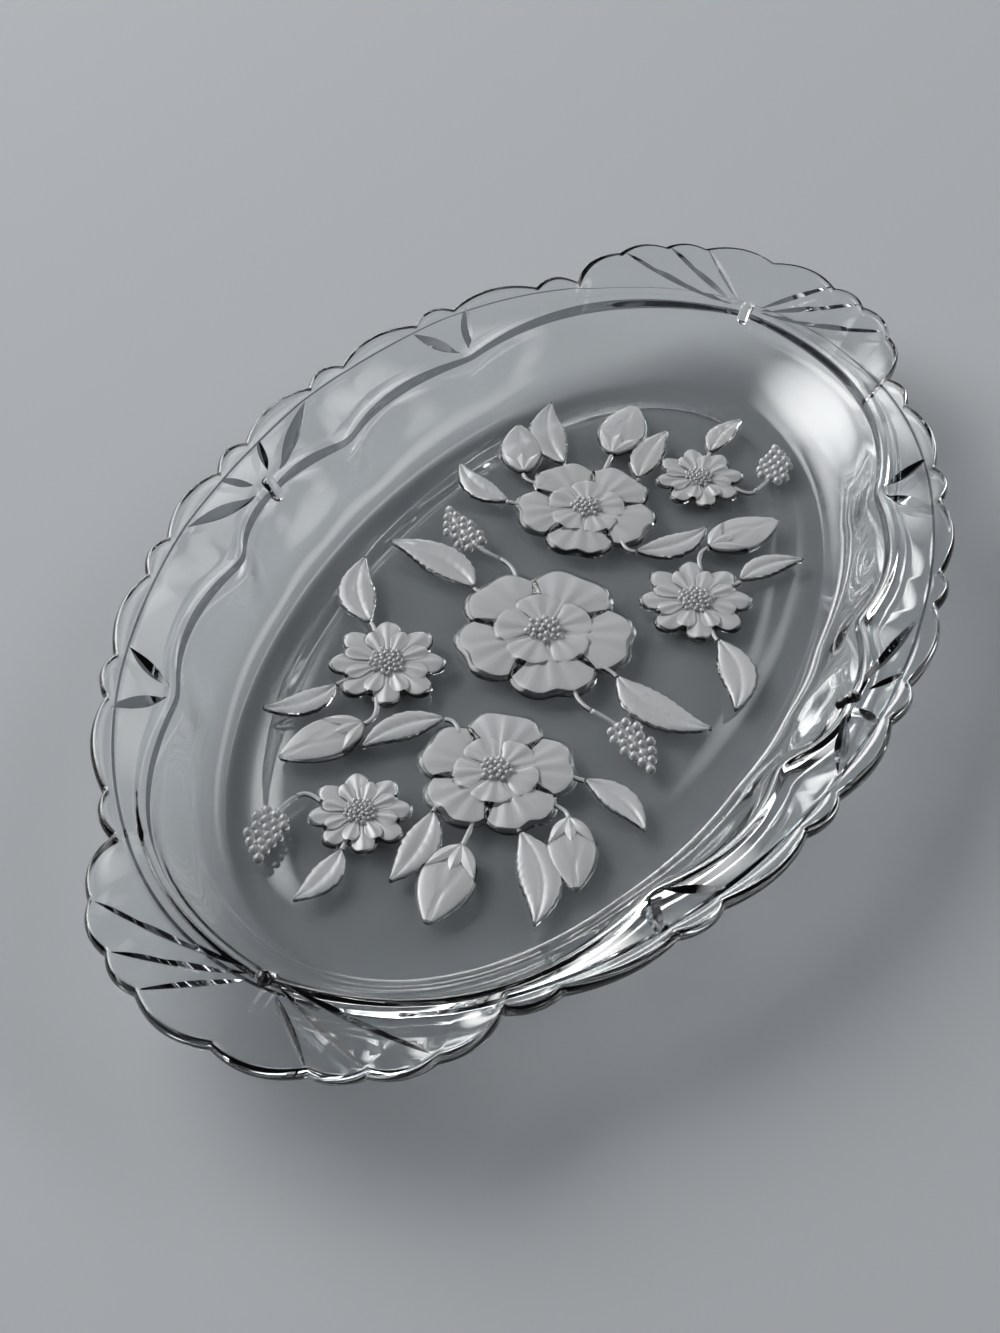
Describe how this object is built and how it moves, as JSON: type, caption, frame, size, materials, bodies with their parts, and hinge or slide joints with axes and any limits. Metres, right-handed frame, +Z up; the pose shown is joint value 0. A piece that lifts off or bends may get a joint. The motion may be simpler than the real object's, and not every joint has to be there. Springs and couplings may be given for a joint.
{
  "type": "oval glass platter",
  "caption": "Oval clear-glass serving platter with a scalloped flared rim, fan-shaped handle lugs, cut leaf sprigs and a frosted floral relief in the well.",
  "frame": {"origin": "on the ground under the middle of the oval, at the foot", "axes": "+X along the length, +Y across, +Z up out of the well"},
  "size_m": [0.3778, 0.229, 0.0344],
  "materials": {
    "clear_glass": "clear polished",
    "frosted_glass": "frosted"
  },
  "bodies": {
    "root": {"bead_far": "clear_glass", "bead_left": "clear_glass", "bead_near": "clear_glass", "bead_right": "clear_glass", "berries_lower_far": "frosted_glass", "berries_lower_near": "frosted_glass", "berries_upper_far": "frosted_glass", "berries_upper_near": "frosted_glass", "blossom_far": "frosted_glass", "blossom_middle": "frosted_glass", "blossom_near": "frosted_glass", "bud_end_far": "frosted_glass", "bud_end_near": "frosted_glass", "bud_lower_far": "frosted_glass", "bud_lower_near": "frosted_glass", "bud_upper_far": "frosted_glass", "bud_upper_near": "frosted_glass", "daisy_inner_far": "frosted_glass", "daisy_inner_near": "frosted_glass", "daisy_outer_far": "frosted_glass", "daisy_outer_near": "frosted_glass", "handle_far": "clear_glass", "handle_near": "clear_glass", "leaf_1_far": "frosted_glass", "leaf_1_near": "frosted_glass", "leaf_2_far": "frosted_glass", "leaf_2_near": "frosted_glass", "leaf_3_far": "frosted_glass", "leaf_3_near": "frosted_glass", "leaf_4_far": "frosted_glass", "leaf_4_near": "frosted_glass", "leaf_5_far": "frosted_glass", "leaf_5_near": "frosted_glass", "leaf_6_far": "frosted_glass", "leaf_6_near": "frosted_glass", "leaf_7_far": "frosted_glass", "leaf_7_near": "frosted_glass", "leaf_8_far": "frosted_glass", "leaf_8_near": "frosted_glass", "rim_side_left": "clear_glass", "rim_side_right": "clear_glass", "well_floor": "clear_glass", "well_wall": "clear_glass"}
  },
  "joints": []
}
